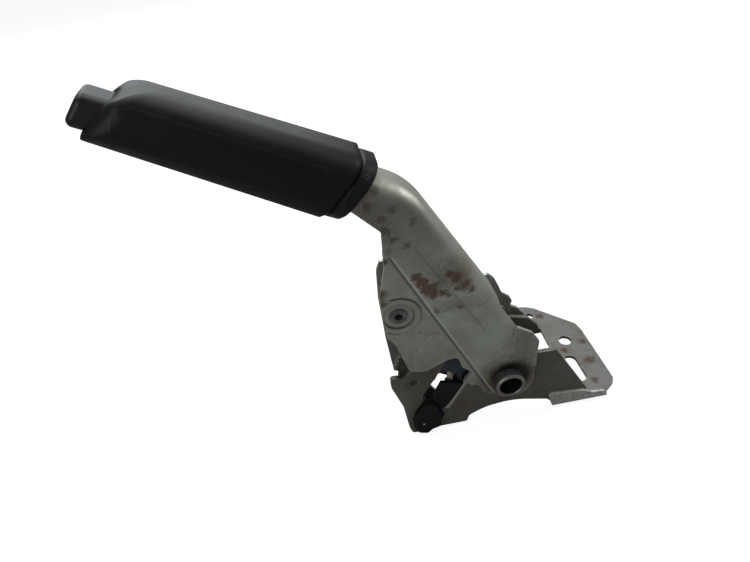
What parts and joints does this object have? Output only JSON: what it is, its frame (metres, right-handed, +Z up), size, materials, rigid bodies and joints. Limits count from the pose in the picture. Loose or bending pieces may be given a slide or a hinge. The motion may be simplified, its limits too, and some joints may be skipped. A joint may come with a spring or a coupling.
{
  "type": "handbrake lever",
  "caption": "Hand lever of pressed steel on a ratchet base, with a moulded grip, a thumb release button, a toothed sector, a warning-lamp switch and a bolting flange.",
  "frame": {"origin": "on the pivot axis, in the lever's middle plane", "axes": "Y along the pivot axis with -Y on the tube's bright rim, -X towards the grip, +Z up from the bolting plate"},
  "size_m": [0.2639, 0.1046, 0.2408],
  "materials": {
    "lever_steel": "thin phosphate coat, worn, with surface rust",
    "base_steel": "dark phosphate coat, worn",
    "flange_steel": "thin zinc coat with rust spots",
    "bright_steel": "turned, slightly stained",
    "sector_steel": "hardened, dark",
    "wire_steel": "drawn wire",
    "grip_black": "soft moulded, fine grain",
    "button_black": "moulded, satin",
    "collar_black": "satin",
    "bush_plastic": "natural moulded",
    "switch_plastic": "dark blue-grey moulded",
    "switch_plate": "blue-grey passivated",
    "terminal_brass": "tinned strip"
  },
  "bodies": {
    "base": {"base_near_cheek": "base_steel", "base_far_cheek": "base_steel", "rear_flange": "flange_steel", "toothed_sector": "sector_steel", "sector_rivets": "sector_steel", "rivet_spacers": "sector_steel", "near_pivot_bush": "bush_plastic", "far_pivot_bush": "bush_plastic", "switch_housing": "switch_plastic", "switch_bracket": "switch_plate", "switch_terminals": "terminal_brass"},
    "lever": {"lever_arm": "lever_steel", "pivot_tube": "bright_steel", "grip": "grip_black", "grip_collar": "collar_black", "pawl_pin": "bright_steel", "pawl_spacer": "bright_steel", "pawl_spring": "wire_steel", "rod_guide": "bush_plastic", "button_spring": "wire_steel", "cable_guide": "bright_steel"},
    "button": {"release_button": "button_black", "button_rod": "wire_steel"},
    "pawl": {"pawl": "sector_steel"},
    "plunger": {"switch_plunger": "bush_plastic"}
  },
  "joints": [
    {"name": "lever_pivot", "type": "hinge", "parent": "base", "child": "lever", "pos_m": [0, 0, 0], "axis": [0, 1, 0], "range_deg": [-14.4, 21.6]},
    {"name": "button_slide", "type": "slide", "parent": "lever", "child": "button", "axis": [0.8829, 0, -0.4695], "range_m": [0, 0.006], "stiffness_N_per_m": 1200, "springref_m": -0.003},
    {"name": "pawl_hinge", "type": "hinge", "parent": "lever", "child": "pawl", "pos_m": [-0.0624, 0, 0.0648], "axis": [0, 1, 0], "range_deg": [0, 15.3]},
    {"name": "switch_plunger_slide", "type": "slide", "parent": "base", "child": "plunger", "axis": [0, 0, -1], "range_m": [0, 0.002], "stiffness_N_per_m": 300, "springref_m": -0.001}
  ],
  "couplings": [
    {"joint": "pawl_hinge", "follows": "button_slide", "rad_per_m": 44.4}
  ]
}
